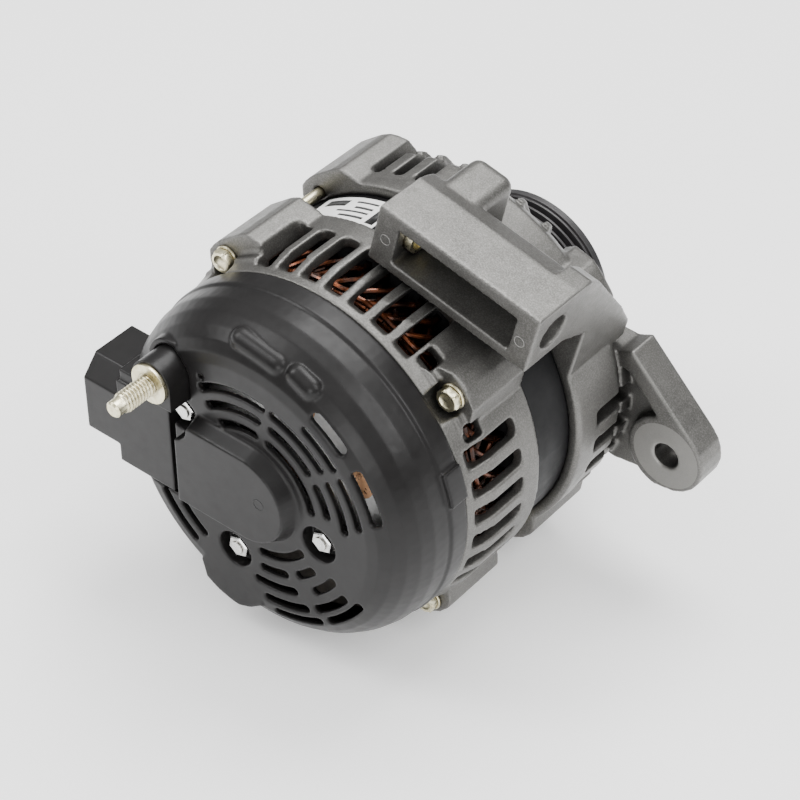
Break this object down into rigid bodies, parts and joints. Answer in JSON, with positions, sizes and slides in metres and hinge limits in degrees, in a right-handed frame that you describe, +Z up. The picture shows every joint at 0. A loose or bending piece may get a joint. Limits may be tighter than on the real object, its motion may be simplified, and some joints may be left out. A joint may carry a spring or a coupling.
{
  "type": "car alternator",
  "caption": "Belt-driven car alternator with a ribbed pulley, vented aluminium housings, black rear cover, output stud, plug socket, mounting block and ear.",
  "frame": {"origin": "point where the shaft axis meets the middle plane of the belt", "axes": "+Y forward along the shaft towards the pulley, +Z up, +X to the right seen from the rear"},
  "size_m": [0.1895, 0.1939, 0.1715],
  "materials": {
    "cast_aluminium": "die-cast, matt",
    "black_lamination": "satin black varnish",
    "copper": "enamelled copper",
    "zinc_steel": "pale yellow zinc plating",
    "black_plastic": "moulded, satin",
    "steel": "bright steel",
    "dark_iron": "forged, machined outside",
    "coil_varnish": "varnished wire",
    "black_pulley": "black coating",
    "label_paper": "satin film",
    "heat_sink": "pressed sheet",
    "diode_case": "plated copper",
    "inner_plastic": "moulded",
    "slip_ring_copper": "polished",
    "contact_brass": "tin plated",
    "carbon": "pressed carbon"
  },
  "bodies": {
    "housing": {"bearing_retainer": "steel", "brush_holder": "inner_plastic", "brush_spring_1": "steel", "brush_spring_2": "steel", "connector_housing": "black_plastic", "connector_pins": "contact_brass", "cover_nut_1": "steel", "cover_nut_2": "steel", "cover_nut_3": "steel", "cover_stud_1": "steel", "cover_stud_2": "steel", "cover_stud_3": "steel", "diode_negative_1": "diode_case", "diode_negative_2": "diode_case", "diode_negative_3": "diode_case", "diode_positive_1": "diode_case", "diode_positive_2": "diode_case", "diode_positive_3": "diode_case", "front_bearing_outer_race": "steel", "front_housing": "cast_aluminium", "mount_bushing": "zinc_steel", "output_stud": "zinc_steel", "rating_label": "label_paper", "rear_bearing_outer_race": "steel", "rear_cover": "black_plastic", "rear_housing": "cast_aluminium", "rectifier_negative_plate": "heat_sink", "rectifier_positive_plate": "heat_sink", "retainer_screw_1": "steel", "retainer_screw_2": "steel", "retainer_screw_3": "steel", "stator_core": "black_lamination", "stator_winding": "copper", "terminal_board": "inner_plastic", "terminal_insulator": "black_plastic", "terminal_washer": "zinc_steel", "through_bolt_1": "zinc_steel", "through_bolt_2": "zinc_steel", "through_bolt_3": "zinc_steel", "through_bolt_4": "zinc_steel", "voltage_regulator": "heat_sink"},
    "rotor": {"shaft": "steel", "claw_pole_rear": "dark_iron", "claw_pole_front": "dark_iron", "field_coil": "coil_varnish", "rear_fan": "steel", "front_fan": "steel", "slip_ring_moulding": "inner_plastic", "slip_ring_1": "slip_ring_copper", "slip_ring_2": "slip_ring_copper", "front_bearing_inner_race": "steel", "rear_bearing_inner_race": "steel", "spacer_collar": "steel", "pulley": "black_pulley", "pulley_nut": "steel"},
    "front_balls": {"front_bearing_balls": "steel"},
    "rear_balls": {"rear_bearing_balls": "steel"},
    "brush_a": {"brush_1": "carbon"},
    "brush_b": {"brush_2": "carbon"}
  },
  "joints": [
    {"name": "rotor_spin", "type": "hinge", "parent": "housing", "child": "rotor", "pos_m": [0, 0, 0], "axis": [0, 1, 0], "continuous": true},
    {"name": "front_bearing_roll", "type": "hinge", "parent": "housing", "child": "front_balls", "pos_m": [0, 0, 0], "axis": [0, 1, 0], "continuous": true},
    {"name": "rear_bearing_roll", "type": "hinge", "parent": "housing", "child": "rear_balls", "pos_m": [0, 0, 0], "axis": [0, 1, 0], "continuous": true},
    {"name": "brush_1_slide", "type": "slide", "parent": "housing", "child": "brush_a", "axis": [-1, 0, 0], "range_m": [0, 0.004], "stiffness_N_per_m": 300, "deforming": ["brush_spring_1"]},
    {"name": "brush_2_slide", "type": "slide", "parent": "housing", "child": "brush_b", "axis": [-1, 0, 0], "range_m": [0, 0.004], "stiffness_N_per_m": 300, "deforming": ["brush_spring_2"]}
  ],
  "couplings": [
    {"joint": "front_bearing_roll", "follows": "rotor_spin", "ratio": 0.3641},
    {"joint": "rear_bearing_roll", "follows": "rotor_spin", "ratio": 0.384}
  ]
}
